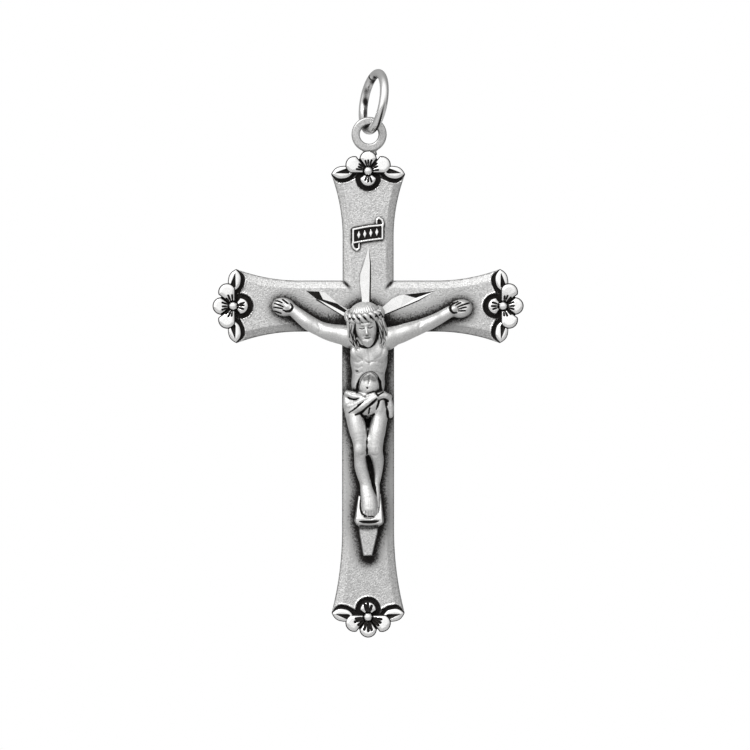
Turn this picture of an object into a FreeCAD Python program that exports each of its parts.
"""Silver crucifix pendant: a flared cross plate with a figure, blossom ends, a scroll, a hanging loop and a jump ring.

Row frame in millimetres: +Z up the stem, +X to the viewer's right, the front looks along -Y.
The origin is on the flat back of the plate, where the axes of the stem and of the cross arms meet.
"""
import FreeCAD
import Part
import Sketcher

import math
import os

from FreeCAD import Placement, Rotation, Vector

# ---------------------------------------------------------------- driving dimensions, in mm and degrees
DIMENSIONS = {
    # plate: a slab, and a bevelled field on it
    "slab_thickness": 1.25,
    "field_height": 0.35,
    "bevel_width": 0.75,
    "root_overlap": 1.2,
    "arm_reach": 13.2,
    "arm_half_width": 2.55,
    "arm_flare_length": 6.3,
    "arm_corner_half_width": 3.7,
    "arm_blossom_offset": 0.3,
    "stem_reach": 30.7,
    "stem_half_width": 2.6,
    "stem_flare_length": 8.3,
    "stem_corner_half_width": 3.65,
    "stem_blossom_offset": 0.4,
    "lobe_radius": 1.9,
    "lobe_shoulder": 0.55,
    "moat_radius": 2.15,
    # blossoms: four petals, a centre bead and two leaves at each end
    "petal_offset": 1.25,
    "petal_half_length": 0.87,
    "petal_half_width": 0.9,
    "side_petal_offset": 1.54,
    "side_petal_angle": 72.0,
    "side_petal_half_length": 0.88,
    "side_petal_half_width": 0.88,
    "inner_petal_offset": 0.85,
    "inner_petal_half_length": 0.74,
    "inner_petal_half_width": 0.8,
    "petal_height": 0.68,
    "calyx_radius": 0.85,
    "calyx_height": 0.32,
    "bead_radius": 0.42,
    "bead_stand": 0.5,
    "seat_clearance": 0.03,
    "leaf_root_reach": 1.4,
    "leaf_root_rise": 0.1,
    "leaf_half_width": 0.6,
    "leaf_height": 0.5,
    "leaf_draft": 20.0,
    # rays cut into the field behind the head
    "ray_depth": 0.28,
    "ray_hub_depth": 1.4,
    # scroll
    "scroll_centre_height": 7.2,
    "scroll_width": 3.1,
    "scroll_height": 1.45,
    "scroll_rise": 0.5,
    "scroll_bow": 0.08,
    "scroll_thickness": 0.32,
    "scroll_rim": 0.22,
    "scroll_recess": 0.18,
    "scroll_curl_radius": 0.27,
    "stud_half_width": 0.17,
    "stud_half_height": 0.36,
    "stud_pitch": 0.56,
    # figure
    "figure_top": 0.6,
    "hand_clearance": 1.24,
    # foot rest, and the tapered post below it
    "rest_height": 3.1,
    "rest_half_width_top": 1.15,
    "rest_half_width_bottom": 1.48,
    "rest_back_thickness": 0.4,
    "rest_lip_height": 0.95,
    "rest_lip_depth": 1.45,
    "rest_lip_draft": 8.0,
    "post_length": 3.1,
    "post_gap": 3.85,
    "post_half_width_top": 1.03,
    "post_half_width_bottom": 0.48,
    "post_thickness": 0.9,
    "post_draft": 12.0,
    # hanging loop
    "loop_side_shift": 0.1,
    "loop_wire_radius": 0.42,
    "loop_bore_radius": 0.92,
    "loop_stand_off": 0.05,
    "neck_half_width": 0.62,
    "neck_bite": 0.55,
    # jump ring
    "ring_wire_radius": 0.44,
    "ring_mean_radius": 2.88,
    "ring_rest_clearance": 0.05,
    "ring_turn": 20.0,
    "ring_lean": 9.0,
    "ring_joint_gap": 1.2,
    "ring_joint_angle": 118.0,
}

doc = FreeCAD.newDocument("crucifix_pendant")
sheet = doc.addObject("Spreadsheet::Sheet", "dims")
for row, (alias, value) in enumerate(DIMENSIONS.items(), start=1):
    sheet.set(f"A{row}", alias)
    sheet.set(f"B{row}", str(value))
    sheet.setAlias(f"B{row}", alias)
doc.recompute()


def dim(alias):
    """A driving dimension, read back from the sheet."""
    return float(getattr(sheet, alias))


def cell(alias):
    """The expression that binds a property to a cell of the sheet."""
    return f"dims.{alias}"


def bind(obj, prop, expression):
    obj.setExpression(prop, expression)


FRONT = -(dim("slab_thickness") + dim("field_height"))
FLOOR = -dim("slab_thickness")
ABOUT_Y = Vector(0, 1, 0)


def blossom_centre(prefix):
    """How far out along its arm the middle of a blossom lies."""
    return dim(f"{prefix}_reach") + dim(f"{prefix}_blossom_offset")


def blossom_cells(prefix):
    return f"{cell(prefix + '_reach')} + {cell(prefix + '_blossom_offset')}"


# ---------------------------------------------------------------- sketches
class Profile:
    """A closed sketch of lines and arcs, drawn in the XZ plane of a body, whose points are bound to the sheet."""

    def __init__(self, body, name, offset="0"):
        plane = next(f for f in body.Origin.OriginFeatures if f.Role == "XZ_Plane")
        self.sketch = body.newObject("Sketcher::SketchObject", name)
        self.sketch.AttachmentSupport = [(plane, "")]
        self.sketch.MapMode = "FlatFace"
        bind(self.sketch, "AttachmentOffset.Base.z", offset)
        self.count = 0

    def line(self, start, end):
        self.sketch.addGeometry(Part.LineSegment(Vector(*start, 0), Vector(*end, 0)), False)
        self.count += 1
        return self.count - 1

    def arc(self, start, middle, end):
        """An arc, and which of its sketch points is its start: a sketch stores every arc anticlockwise."""
        shape = Part.Arc(Vector(*start, 0), Vector(*middle, 0), Vector(*end, 0))
        turn = (middle[0] - start[0]) * (end[1] - start[1]) - (middle[1] - start[1]) * (end[0] - start[0])
        self.sketch.addGeometry(shape, False)
        self.count += 1
        return self.count - 1, (1 if turn > 0 else 2)

    def add(self, *constraint):
        return self.sketch.addConstraint(Sketcher.Constraint(*constraint))

    def join(self, first, first_point, second, second_point):
        self.add("Coincident", first, first_point, second, second_point)

    def place(self, geometry, point, axis, value, expression):
        """Holds one coordinate of a point at a distance from the sketch's origin. The expression is that distance."""
        kind = "Distance" + axis
        if value < 0:
            index = self.add(kind, geometry, point, -1, 1, -value)
        else:
            index = self.add(kind, -1, 1, geometry, point, value)
        bind(self.sketch, f"Constraints[{index}]", expression)

    def radius(self, geometry, value, expression):
        index = self.add("Radius", geometry, value)
        bind(self.sketch, f"Constraints[{index}]", expression)


def pad(body, profile, name, length, draft=None):
    feature = body.newObject("PartDesign::Pad", name)
    feature.Profile = profile.sketch
    bind(feature, "Length", length)
    if draft:
        bind(feature, "TaperAngle", draft)
    return feature


def pocket(body, profile, name, length):
    feature = body.newObject("PartDesign::Pocket", name)
    feature.Profile = profile.sketch
    bind(feature, "Length", length)
    return feature


def concave_middle(start, corner):
    """The middle of the arc that leaves start along X and bends away to corner."""
    run, rise = corner[0] - start[0], abs(corner[1] - start[1])
    radius = (run**2 + rise**2) / (2 * rise)
    side = math.copysign(1, corner[1])
    half = math.asin(run / radius) / 2
    return start[0] + radius * math.sin(half), side * (abs(start[1]) + radius * (1 - math.cos(half)))


def arm_outline(body, name, prefix, offset, lobed):
    """One arm along +X: straight sides, concave flares to two corners, and an end that is lobed or straight."""
    width, reach = dim(f"{prefix}_half_width"), dim(f"{prefix}_reach")
    start = reach - dim(f"{prefix}_flare_length")
    corner = dim(f"{prefix}_corner_half_width")
    root = -dim("root_overlap")
    p = Profile(body, name, offset)
    low_side = p.line((root, -width), (start, -width))
    low_flare, low_start = p.arc(
        (start, -width), concave_middle((start, -width), (reach, -corner)), (reach, -corner)
    )
    low_end = 3 - low_start
    if lobed:
        centre, radius = blossom_centre(prefix), dim("lobe_radius")
        shoulder = reach + dim("lobe_shoulder")
        height = math.sqrt(radius**2 - (shoulder - centre) ** 2)
        low_edge = p.line((reach, -corner), (shoulder, -height))
        lobe, lobe_start = p.arc((shoulder, -height), (centre + radius, 0), (shoulder, height))
        high_edge = p.line((shoulder, height), (reach, corner))
    else:
        high_edge = p.line((reach, -corner), (reach, corner))
    high_flare, high_start = p.arc(
        (reach, corner), concave_middle((start, width), (reach, corner)), (start, width)
    )
    high_end = 3 - high_start
    high_side = p.line((start, width), (root, width))
    back = p.line((root, width), (root, -width))
    p.add("Tangent", low_side, 2, low_flare, low_start)
    if lobed:
        p.join(low_flare, low_end, low_edge, 1)
        p.join(low_edge, 2, lobe, lobe_start)
        p.join(lobe, 3 - lobe_start, high_edge, 1)
    else:
        p.join(low_flare, low_end, high_edge, 1)
    p.join(high_edge, 2, high_flare, high_start)
    p.join(high_flare, high_end, high_side, 1)
    p.join(high_side, 2, back, 1)
    p.join(back, 2, low_side, 1)
    p.add("Horizontal", low_side)
    p.add("Symmetric", low_side, 1, high_side, 2, -1)
    p.add("Symmetric", low_side, 2, high_side, 1, -1)
    p.add("Symmetric", low_flare, low_end, high_flare, high_start, -1)
    p.add("Equal", low_flare, high_flare)
    p.place(low_side, 1, "X", root, cell("root_overlap"))
    p.place(low_side, 1, "Y", -width, cell(f"{prefix}_half_width"))
    p.place(low_side, 2, "X", start, f"{cell(prefix + '_reach')} - {cell(prefix + '_flare_length')}")
    p.place(low_flare, low_end, "X", reach, cell(f"{prefix}_reach"))
    p.place(low_flare, low_end, "Y", -corner, cell(f"{prefix}_corner_half_width"))
    if lobed:
        p.add("Symmetric", low_edge, 2, high_edge, 1, -1)
        p.place(low_edge, 2, "X", shoulder, f"{cell(prefix + '_reach')} + {cell('lobe_shoulder')}")
        p.place(lobe, 3, "X", centre, blossom_cells(prefix))
        p.radius(lobe, radius, cell("lobe_radius"))
    return p


def moat_outline(body, name, prefix):
    """The round part of the recess that is sunk into the field around a blossom."""
    centre, radius = blossom_centre(prefix), dim("moat_radius")
    p = Profile(body, name, f"{cell('slab_thickness')} + {cell('field_height')}")
    p.sketch.addGeometry(Part.Circle(Vector(centre, 0, 0), Vector(0, 0, 1), radius), False)
    p.place(0, 3, "X", centre, blossom_cells(prefix))
    p.add("PointOnObject", 0, 3, -1)
    p.radius(0, radius, cell("moat_radius"))
    return p


# ---------------------------------------------------------------- cross plate
def arm_body(name, prefix):
    """A slab, a bevelled field on it and the moat cut around the blossom, along +X. The back face is at Y = 0."""
    body = doc.addObject("PartDesign::Body", name)
    slab = pad(body, arm_outline(body, name + "_slab", prefix, "0", True), name + "_slab_pad", cell("slab_thickness"))
    field_draft = f"-atan({cell('bevel_width')} / {cell('field_height')})"
    field_profile = arm_outline(body, name + "_field", prefix, cell("slab_thickness"), False)
    field = pad(body, field_profile, name + "_field_pad", cell("field_height"), field_draft)
    moat = pocket(body, moat_outline(body, name + "_moat", prefix), name + "_moat_pocket", cell("field_height"))
    doc.recompute()
    return body, [slab, field, moat]


# Each ray: where its tip lies, and how wide it is at the hub to each side of its valley.
RAYS = {
    "ray_up": ((0.18, 6.0), 0.62),
    "ray_left": ((-6.2, 1.5), 0.85),
    "ray_right": ((6.8, 1.5), 0.95),
}


def ray_cutter(name, tip, spread):
    """A sliver with three edges that leaves two bright facets: its valley falls from the tip to the hub."""
    top = FRONT - dim("ray_depth")
    hub = Vector(0, FRONT, -dim("ray_hub_depth"))
    point = Vector(tip[0], FRONT, tip[1])
    along = (point - hub).normalize()
    across = Vector(along.z, 0, -along.x) * spread
    deep = hub + Vector(0, dim("ray_depth"), 0)
    corners = [point, hub + across, deep, hub - across]
    lifted = [Vector(v.x, top, v.z) for v in (corners[0], corners[1], corners[3])]
    faces = [
        Part.Face(Part.makePolygon([corners[0], corners[1], corners[2], corners[0]])),
        Part.Face(Part.makePolygon([corners[0], corners[2], corners[3], corners[0]])),
        Part.Face(Part.makePolygon([corners[1], corners[2], corners[3], corners[1]])),
        Part.Face(Part.makePolygon([corners[0], corners[1], corners[3], corners[0]])),
    ]
    prism = Part.Face(Part.makePolygon([*lifted, lifted[0]])).extrude(Vector(0, FRONT - top, 0))
    wedge = Part.Solid(Part.Shell(faces))
    cutter = doc.addObject("Part::Feature", name)
    cutter.Shape = wedge.fuse(prism).removeSplitter()
    return cutter


def cross_plate():
    arm, originals = arm_body("arm", "arm")
    pattern = arm.newObject("PartDesign::PolarPattern", "three_arms")
    pattern.Originals = originals
    axis = next(f for f in arm.Origin.OriginFeatures if f.Role == "Y_Axis")
    pattern.Axis = (axis, [""])
    pattern.Angle = 180
    pattern.Occurrences = 3
    pattern.Reversed = True
    arm.Tip = pattern
    stem, _ = arm_body("stem", "stem")
    stem.Placement = Placement(Vector(0, 0, 0), Rotation(ABOUT_Y, 90))
    doc.recompute()
    joined = doc.addObject("Part::Fuse", "plate_blank")
    joined.Base = arm
    joined.Tool = stem
    joined.Refine = True
    blank = joined
    for name, (tip, spread) in RAYS.items():
        cut = doc.addObject("Part::Cut", "plate_less_" + name)
        cut.Base = blank
        cut.Tool = ray_cutter(name, tip, spread)
        doc.recompute()
        if cut.Shape.Volume >= blank.Shape.Volume:
            raise RuntimeError(f"{name} cuts nothing from the plate")
        blank = cut
    blank.Label = "cross_plate"
    return blank


def trimmed(source, tool, name):
    """source with everything that tool fills taken away, so that the two meet face to face."""
    cut = doc.addObject("Part::Cut", name)
    cut.Base = source
    cut.Tool = tool
    cut.Label = name
    return cut


# ---------------------------------------------------------------- blossoms
def end_placement(prefix, turn):
    """Where a blossom drawn for the upper arm goes: out along the arm, then turned about Y."""
    spin = Rotation(ABOUT_Y, turn)
    return Placement(spin.multVec(Vector(0, FLOOR, blossom_centre(prefix))), spin)


def petal(name, kind, turn):
    """A half ellipsoid on the floor of the recess, pushed out from the blossom's centre in one direction."""
    dome = doc.addObject("Part::Ellipsoid", name)
    bind(dome, "Radius1", cell("petal_height"))
    bind(dome, "Radius2", cell(kind + "_half_length"))
    bind(dome, "Radius3", cell(kind + "_half_width"))
    dome.Angle1 = 0
    dome.Angle2 = 90
    push = Rotation(ABOUT_Y, turn).multVec(Vector(0, 0, dim(kind + "_offset")))
    face_out = Rotation(Vector(1, 0, 0), 90)
    lie = Rotation(ABOUT_Y, turn + 90).multiply(face_out)
    dome.Placement = Placement(push, lie)
    return dome


def flower(name, prefix, turn):
    """Four petals on a low calyx, round a seat for the bead. Also gives the two side petals, which the leaves are trimmed to."""
    spread = dim("side_petal_angle")
    sides = {
        "a": petal(name + "_side_a", "side_petal", spread),
        "b": petal(name + "_side_b", "side_petal", -spread),
    }
    ends = [petal(name + "_outer", "petal", 0), petal(name + "_inner", "inner_petal", 180)]
    calyx = doc.addObject("Part::Cylinder", name + "_calyx")
    bind(calyx, "Radius", cell("calyx_radius"))
    bind(calyx, "Height", cell("calyx_height"))
    calyx.Placement = Placement(Vector(0, 0, 0), Rotation(Vector(1, 0, 0), 90))
    bloom = doc.addObject("Part::MultiFuse", name + "_petals")
    bloom.Shapes = [calyx, *ends, *sides.values()]
    seat = doc.addObject("Part::Cylinder", name + "_seat")
    bind(seat, "Radius", f"{cell('bead_radius')} + {cell('seat_clearance')}")
    bind(seat, "Height", f"2 * {cell('petal_height')}")
    seat.Placement = Placement(Vector(0, dim("petal_height") / 2, 0), Rotation(Vector(1, 0, 0), 90))
    bored = trimmed(bloom, seat, name)
    bored.Placement = end_placement(prefix, turn)
    return bored, sides


def bead(name, prefix, turn):
    """A round-headed pin that stands on the floor of the recess, through the seat in the petals."""
    shank = doc.addObject("Part::Cylinder", name + "_shank")
    bind(shank, "Radius", cell("bead_radius"))
    bind(shank, "Height", cell("bead_stand"))
    head = doc.addObject("Part::Sphere", name + "_head")
    bind(head, "Radius", cell("bead_radius"))
    bind(head, "Placement.Base.z", cell("bead_stand"))
    pin = doc.addObject("Part::Fuse", name)
    pin.Base = shank
    pin.Tool = head
    pin.Refine = True
    place = end_placement(prefix, turn)
    pin.Placement = place.multiply(Placement(Vector(0, 0, 0), Rotation(Vector(1, 0, 0), 90)))
    pin.Label = name
    return pin


def leaf(name, prefix, side):
    """A pointed leaf between two arcs, with drafted sides, from under a side petal out to the arm's corner.

    Like the petals, it is drawn about the blossom's centre, with the arm upright.
    """
    body = doc.addObject("PartDesign::Body", name)
    out = dim(f"{prefix}_corner_half_width") - dim("leaf_root_reach")
    fall = dim("leaf_root_rise") + dim(f"{prefix}_blossom_offset")
    length, half = math.hypot(out, fall), dim("leaf_half_width")
    p = Profile(body, name + "_outline")
    low, low_start = p.arc((0, 0), (length / 2, -half), (length, 0))
    high, high_start = p.arc((length, 0), (length / 2, half), (0, 0))
    p.join(low, 3 - low_start, high, high_start)
    p.join(high, 3 - high_start, low, low_start)
    p.join(low, low_start, -1, 1)
    p.add("PointOnObject", low, 3 - low_start, -1)
    length_cells = (
        f"sqrt(({cell(prefix + '_corner_half_width')} - {cell('leaf_root_reach')})^2"
        f" + ({cell('leaf_root_rise')} + {cell(prefix + '_blossom_offset')})^2)"
    )
    p.place(low, 3 - low_start, "X", length, length_cells)
    p.add("Equal", low, high)
    radius_cells = f"(({length_cells})^2 / 4 + {cell('leaf_half_width')}^2) / (2 * {cell('leaf_half_width')})"
    p.radius(low, (length**2 / 4 + half**2) / (2 * half), radius_cells)
    pad(body, p, name + "_pad", cell("leaf_height"), f"-{cell('leaf_draft')}")
    root = Vector(side * dim("leaf_root_reach"), 0, dim("leaf_root_rise"))
    angle = math.degrees(math.atan2(fall, out))
    lie = Rotation(ABOUT_Y, angle if side > 0 else 180 - angle)
    body.Placement = Placement(root, lie)
    return body


ENDS = {"top": ("arm", 0), "right": ("arm", 90), "left": ("arm", -90), "bottom": ("stem", 180)}


# ---------------------------------------------------------------- scroll
def scroll():
    """A blank ribbon with a sunk field, sheared upwards to the right, and a rolled curl at two opposite corners."""
    half, tall, rise = dim("scroll_width") / 2, dim("scroll_height") / 2, dim("scroll_rise") / 2
    centre = dim("scroll_centre_height")
    lift = -FRONT

    def ribbon(inset, start, height):
        """The ribbon's own outline, pulled in by inset, as a solid from start to start + height above the back."""
        side, end, bow = half - inset, tall - inset, dim("scroll_bow")
        slope = rise * side / half
        a, b, c, d = (-side, -end - slope), (side, -end + slope), (side, end + slope), (-side, end - slope)
        low, high = (0, -end - bow), (0, end + bow)

        def at(point):
            return Vector(point[0], -start, point[1])

        edges = [
            Part.Arc(at(a), at(low), at(b)).toShape(),
            Part.LineSegment(at(b), at(c)).toShape(),
            Part.Arc(at(c), at(high), at(d)).toShape(),
            Part.LineSegment(at(d), at(a)).toShape(),
        ]
        return Part.Face(Part.Wire(edges)).extrude(Vector(0, -height, 0))

    thick, recess, curl = dim("scroll_thickness"), dim("scroll_recess"), dim("scroll_curl_radius")
    plate = ribbon(0, lift, thick).cut(ribbon(dim("scroll_rim"), lift + thick - recess, 2 * recess))
    for side in (1, -1):
        at = Vector(side * (half - curl), -lift, side * (tall + rise + curl * 0.6))
        roll = Part.makeCylinder(curl, thick, at, Vector(0, -1, 0))
        eye = Part.makeCylinder(curl * 0.4, recess, at + Vector(0, recess - thick, 0), Vector(0, -1, 0))
        plate = plate.fuse(roll).cut(eye)
    ribbon_part = doc.addObject("Part::Feature", "titulus_scroll")
    ribbon_part.Shape = plate.removeSplitter()
    ribbon_part.Placement = Placement(Vector(0, 0, centre), Rotation())
    floor = lift + thick - recess
    studs = []
    for step in (-1.5, -0.5, 0.5, 1.5):
        x = step * dim("stud_pitch")
        z = x * rise / half
        wide, high = dim("stud_half_width"), dim("stud_half_height")
        tips = [(x - wide, z), (x, z - high), (x + wide, z), (x, z + high), (x - wide, z)]
        outline = Part.makePolygon([Vector(u, -floor, v) for u, v in tips])
        studs.append(Part.Face(outline).extrude(Vector(0, -recess, 0)))
    row = doc.addObject("Part::Feature", "scroll_studs")
    row.Shape = Part.makeCompound(studs)
    row.Placement = Placement(Vector(0, 0, centre), Rotation())
    return [ribbon_part, row]


# ---------------------------------------------------------------- figure
# Both tables give (X, how far the middle of the limb stands in front of the plate, Z down from the crown).
# In ARMS, X is a share of the arms' reach. Every other number is a share of the figure's height.
ARMS = {
    "elbow_left": (-0.480, 0.040, -0.118),
    "elbow_right": (0.504, 0.040, -0.120),
    "wrist_left": (-0.696, 0.032, -0.030),
    "wrist_right": (0.762, 0.032, -0.040),
    "palm_left": (-0.797, 0.030, -0.018),
    "palm_right": (0.871, 0.030, -0.030),
    "fingers_left": (-0.863, 0.028, -0.012),
    "fingers_right": (0.944, 0.028, -0.018),
}
TRUNK = {
    "skull": (-0.003, 0.082, -0.080),
    "jaw": (0.008, 0.095, -0.150),
    "neck": (0.000, 0.060, -0.175),
    "shoulder_left": (-0.100, 0.045, -0.160),
    "shoulder_right": (0.108, 0.045, -0.170),
    "hip_left": (-0.048, 0.050, -0.475),
    "hip_right": (0.050, 0.050, -0.475),
    "knee_left": (-0.030, 0.078, -0.680),
    "knee_right": (0.036, 0.078, -0.685),
    "ankle_left": (-0.008, 0.060, -0.860),
    "ankle_right": (0.028, 0.042, -0.850),
    "toes_left": (0.004, 0.068, -0.970),
    "toes_right": (0.036, 0.045, -0.945),
    "knot": (0.108, 0.045, -0.440),
    "drape_end": (0.112, 0.038, -0.530),
}
# The torso's cross-sections: height, middle in X, half width, front and back reach.
TORSO = [
    (-0.165, 0.002, 0.060, 0.075),
    (-0.200, 0.004, 0.098, 0.090),
    (-0.270, 0.010, 0.092, 0.098),
    (-0.330, 0.010, 0.082, 0.088),
    (-0.390, 0.004, 0.073, 0.078),
    (-0.440, 0.000, 0.096, 0.088),
    (-0.500, 0.000, 0.100, 0.084),
    (-0.545, 0.000, 0.070, 0.070),
]


def figure_height():
    """Crown to soles: what the stem leaves above the foot rest's lip, the post and the bare field below it."""
    below = dim("moat_radius") + dim("post_gap") + dim("post_length") + dim("rest_lip_height")
    return dim("figure_top") + blossom_centre("stem") - below


def arms_reach():
    """The middle line to the fingertips, which stay clear of the side blossoms."""
    petal = dim("inner_petal_offset") + dim("inner_petal_half_length")
    return blossom_centre("arm") - petal - dim("hand_clearance")


def figure_point(name):
    unit = figure_height()
    share, forward, down = ARMS[name] if name in ARMS else TRUNK[name]
    x = share * (arms_reach() if name in ARMS else unit)
    return Vector(x, FRONT - forward * unit, dim("figure_top") + down * unit)


def tapered(start, end, start_share, end_share):
    """A limb: a cone between two balls, as one solid of revolution."""
    a, b = figure_point(start), figure_point(end)
    r, s = start_share * figure_height(), end_share * figure_height()
    axis = b - a
    length = axis.Length
    slope = math.asin((r - s) / length)
    low = Vector(r * math.cos(slope), 0, r * math.sin(slope))
    high = Vector(s * math.cos(slope), 0, length + s * math.sin(slope))
    mid_low, mid_high = (slope - math.pi / 2) / 2, (slope + math.pi / 2) / 2
    foot, crown = Vector(0, 0, -r), Vector(0, 0, length + s)
    outline = Part.Wire(
        [
            Part.Arc(foot, Vector(r * math.cos(mid_low), 0, r * math.sin(mid_low)), low).toShape(),
            Part.LineSegment(low, high).toShape(),
            Part.Arc(high, Vector(s * math.cos(mid_high), 0, length + s * math.sin(mid_high)), crown).toShape(),
            Part.LineSegment(crown, foot).toShape(),
        ]
    )
    limb = Part.Face(outline).revolve(Vector(0, 0, 0), Vector(0, 0, 1), 360)
    limb.Placement = Placement(a, Rotation(Vector(0, 0, 1), axis))
    return limb


def torso():
    unit = figure_height()
    rings = []
    for height, middle, half, reach in TORSO:
        ring = Part.Ellipse(Vector(0, 0, 0), max(half, reach) * unit, min(half, reach) * unit).toShape()
        turn = Rotation(Vector(0, 0, 1), 0 if half > reach else 90)
        centre = Vector(middle * unit, FRONT, dim("figure_top") + height * unit)
        ring.Placement = Placement(centre, turn)
        rings.append(Part.Wire(ring))
    return Part.makeLoft(rings, True)


def corpus(foot_rest):
    """The figure as one casting with a flat back on the field, relieved where it stands against the foot rest."""
    limbs = [
        tapered("skull", "jaw", 0.078, 0.052),
        tapered("jaw", "neck", 0.040, 0.042),
        tapered("shoulder_left", "elbow_left", 0.046, 0.034),
        tapered("shoulder_right", "elbow_right", 0.046, 0.034),
        tapered("elbow_left", "wrist_left", 0.035, 0.022),
        tapered("elbow_right", "wrist_right", 0.035, 0.022),
        tapered("wrist_left", "palm_left", 0.023, 0.036),
        tapered("wrist_right", "palm_right", 0.023, 0.036),
        tapered("palm_left", "fingers_left", 0.037, 0.028),
        tapered("palm_right", "fingers_right", 0.037, 0.028),
        tapered("hip_left", "knee_left", 0.062, 0.044),
        tapered("hip_right", "knee_right", 0.060, 0.043),
        tapered("knee_left", "ankle_left", 0.043, 0.027),
        tapered("knee_right", "ankle_right", 0.041, 0.026),
        tapered("ankle_left", "toes_left", 0.028, 0.034),
        tapered("ankle_right", "toes_right", 0.026, 0.028),
        tapered("knot", "drape_end", 0.024, 0.019),
    ]
    whole = torso().fuse(limbs)
    span = 4 * figure_height()
    in_front = Part.makeBox(span, span, span, Vector(-span / 2, FRONT - span, -span / 2))
    cast = doc.addObject("Part::Feature", "corpus")
    cast.Shape = whole.common(in_front).cut(foot_rest)
    return cast


# ---------------------------------------------------------------- foot rest and post
def tapered_plate(body, name, top, bottom, half_top, half_bottom, offset):
    """A trapezium sketch, upright, whose four corners are bound to the sheet."""
    z_top, z_bottom = top[0], bottom[0]
    p = Profile(body, name, offset)
    corners = [(-half_bottom[0], z_bottom), (half_bottom[0], z_bottom), (half_top[0], z_top), (-half_top[0], z_top)]
    lines = [p.line(corners[i], corners[(i + 1) % 4]) for i in range(4)]
    for i in range(4):
        p.join(lines[i], 2, lines[(i + 1) % 4], 1)
    p.add("Symmetric", lines[0], 1, lines[0], 2, -2)
    p.add("Symmetric", lines[2], 1, lines[2], 2, -2)
    p.place(lines[0], 2, "X", half_bottom[0], half_bottom[1])
    p.place(lines[0], 2, "Y", z_bottom, bottom[1])
    p.place(lines[2], 1, "X", half_top[0], half_top[1])
    p.place(lines[2], 1, "Y", z_top, top[1])
    return p


# How far the foot rest's lip starts below the origin: the soles stand on it.
LIP_TOP = (
    f"({cell('stem_reach')} + {cell('stem_blossom_offset')} - {cell('moat_radius')} - {cell('post_gap')}"
    f" - {cell('post_length')} - {cell('rest_lip_height')})"
)


def rest_levels():
    """The lip's top, the rest's bottom and the rest's top, each as a height and the cells of its distance down."""
    lip = dim("figure_top") - figure_height()
    bottom = lip - dim("rest_lip_height")
    bottom_cells = f"{LIP_TOP} + {cell('rest_lip_height')}"
    top = bottom + dim("rest_height")
    return (lip, LIP_TOP), (bottom, bottom_cells), (top, f"{bottom_cells} - {cell('rest_height')}")


def foot_rest():
    """A back plate that widens downwards, with a deep lip along its lower edge for the feet."""
    body = doc.addObject("PartDesign::Body", "suppedaneum")
    face = f"{cell('slab_thickness')} + {cell('field_height')}"
    lip_top, bottom, top = rest_levels()
    wide = (dim("rest_half_width_bottom"), cell("rest_half_width_bottom"))
    narrow = (dim("rest_half_width_top"), cell("rest_half_width_top"))
    back = tapered_plate(body, "rest_back", top, bottom, narrow, wide, face)
    pad(body, back, "rest_back_pad", cell("rest_back_thickness"))
    share = dim("rest_lip_height") / dim("rest_height")
    share_cells = f"{cell('rest_lip_height')} / {cell('rest_height')}"
    lip_half = (wide[0] + (narrow[0] - wide[0]) * share, f"{wide[1]} + ({narrow[1]} - {wide[1]}) * {share_cells}")
    lip = tapered_plate(body, "rest_lip", lip_top, bottom, lip_half, wide, face)
    pad(body, lip, "rest_lip_pad", cell("rest_lip_depth"), f"-{cell('rest_lip_draft')}")
    body.Label = "suppedaneum"
    return body


def post():
    """The tapered end of the upright below the foot rest."""
    body = doc.addObject("PartDesign::Body", "stem_post")
    face = f"{cell('slab_thickness')} + {cell('field_height')}"
    top = rest_levels()[1]
    bottom = (top[0] - dim("post_length"), f"{top[1]} + {cell('post_length')}")
    half_top = (dim("post_half_width_top"), cell("post_half_width_top"))
    half_bottom = (dim("post_half_width_bottom"), cell("post_half_width_bottom"))
    outline = tapered_plate(body, "post_outline", top, bottom, half_top, half_bottom, face)
    pad(body, outline, "post_pad", cell("post_thickness"), f"-{cell('post_draft')}")
    body.Label = "stem_post"
    return body


# ---------------------------------------------------------------- loop and jump ring
def loop_centre():
    """The middle of the eye, whose lowest point stands just off the top of the plate."""
    outer = dim("loop_bore_radius") + 2 * dim("loop_wire_radius")
    top = blossom_centre("arm") + dim("lobe_radius") + dim("loop_stand_off")
    return Vector(dim("loop_side_shift"), FLOOR / 2, top + outer)


def hanging_loop(plate):
    """A round-wire eye with a short neck that meets the top edge of the plate face to face."""
    eye = doc.addObject("Part::Torus", "loop_eye")
    bind(eye, "Radius1", f"{cell('loop_bore_radius')} + {cell('loop_wire_radius')}")
    bind(eye, "Radius2", cell("loop_wire_radius"))
    eye.Placement = Placement(loop_centre(), Rotation(Vector(1, 0, 0), 90))
    neck = doc.addObject("Part::Box", "loop_neck")
    bind(neck, "Length", f"2 * {cell('neck_half_width')}")
    bind(neck, "Width", f"2 * {cell('loop_wire_radius')} * cos(30)")
    bind(neck, "Height", f"2 * {cell('neck_bite')}")
    eye_bottom = loop_centre().z - dim("loop_bore_radius") - 2 * dim("loop_wire_radius")
    front = FLOOR / 2 - dim("loop_wire_radius") * math.cos(math.radians(30))
    corner = Vector(dim("loop_side_shift") - dim("neck_half_width"), front, eye_bottom - dim("neck_bite"))
    neck.Placement = Placement(corner, Rotation())
    joined = doc.addObject("Part::Fuse", "loop_blank")
    joined.Base = eye
    joined.Tool = neck
    return trimmed(joined, plate, "hanging_loop")


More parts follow.
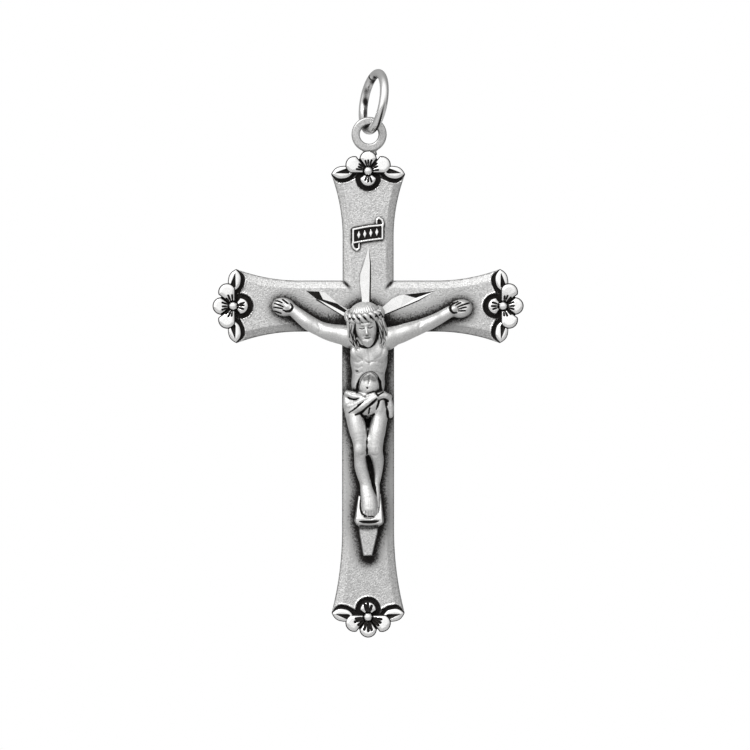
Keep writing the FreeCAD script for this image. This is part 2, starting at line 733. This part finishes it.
def jump_ring():
    """A cut wire ring through the loop: turned about Z, leaned to the right, its butt joint nearly closed."""
    ring = doc.addObject("Part::Torus", "jump_ring")
    bind(ring, "Radius1", cell("ring_mean_radius"))
    bind(ring, "Radius2", cell("ring_wire_radius"))
    bind(ring, "Angle3", f"360 - {cell('ring_joint_gap')}")
    on_edge = Rotation(ABOUT_Y, 90)
    start = Rotation(Vector(1, 0, 0), dim("ring_joint_angle"))
    turn = Rotation(Vector(0, 0, 1), dim("ring_turn"))
    lean = Rotation(ABOUT_Y, dim("ring_lean"))
    pose = lean.multiply(turn).multiply(start).multiply(on_edge)
    drop = dim("loop_bore_radius") - dim("ring_wire_radius") - dim("ring_rest_clearance")
    seat = loop_centre() + Vector(0, 0, drop)
    up = lean.multVec(Vector(0, 0, dim("ring_mean_radius")))
    ring.Placement = Placement(seat + up, pose)
    ring.Label = "jump_ring"
    return ring


# ---------------------------------------------------------------- build and write
def build():
    plate = cross_plate()
    parts = [plate]
    for end, (prefix, turn) in ENDS.items():
        bloom, side_petals = flower("flower_" + end, prefix, turn)
        parts += [bloom, bead("bead_" + end, prefix, turn)]
        for side, way in (("a", 1), ("b", -1)):
            name = f"leaf_{end}_{side}"
            beside = trimmed(leaf(name + "_whole", prefix, way), side_petals[side], name + "_beside_petal")
            beside.Placement = end_placement(prefix, turn)
            parts.append(trimmed(beside, plate, name))
    parts += scroll()
    rest = foot_rest()
    doc.recompute()
    parts += [rest, post(), corpus(rest.Shape)]
    parts += [hanging_loop(plate), jump_ring()]
    doc.recompute()
    return parts


def write(parts):
    failed = [o.Name for o in doc.Objects if {"Invalid", "Error"} & set(o.State)]
    if failed:
        raise RuntimeError(f"these objects failed: {failed}")
    os.makedirs("parts", exist_ok=True)
    for old in os.listdir("parts"):
        if old.endswith(".step"):
            os.remove(os.path.join("parts", old))
    for part in parts:
        shape = part.Shape
        if shape.isNull() or not shape.isValid() or not shape.Solids:
            raise RuntimeError(f"{part.Label} has no valid solid")
        box = shape.BoundBox
        print(
            f"{part.Label:18s} solids {len(shape.Solids)} volume {shape.Volume:9.4f} "
            f"x {box.XMin:7.2f} {box.XMax:7.2f} y {box.YMin:6.2f} {box.YMax:6.2f} z {box.ZMin:7.2f} {box.ZMax:7.2f}"
        )
        shape.exportStep(os.path.join("parts", part.Label + ".step"))


write(build())
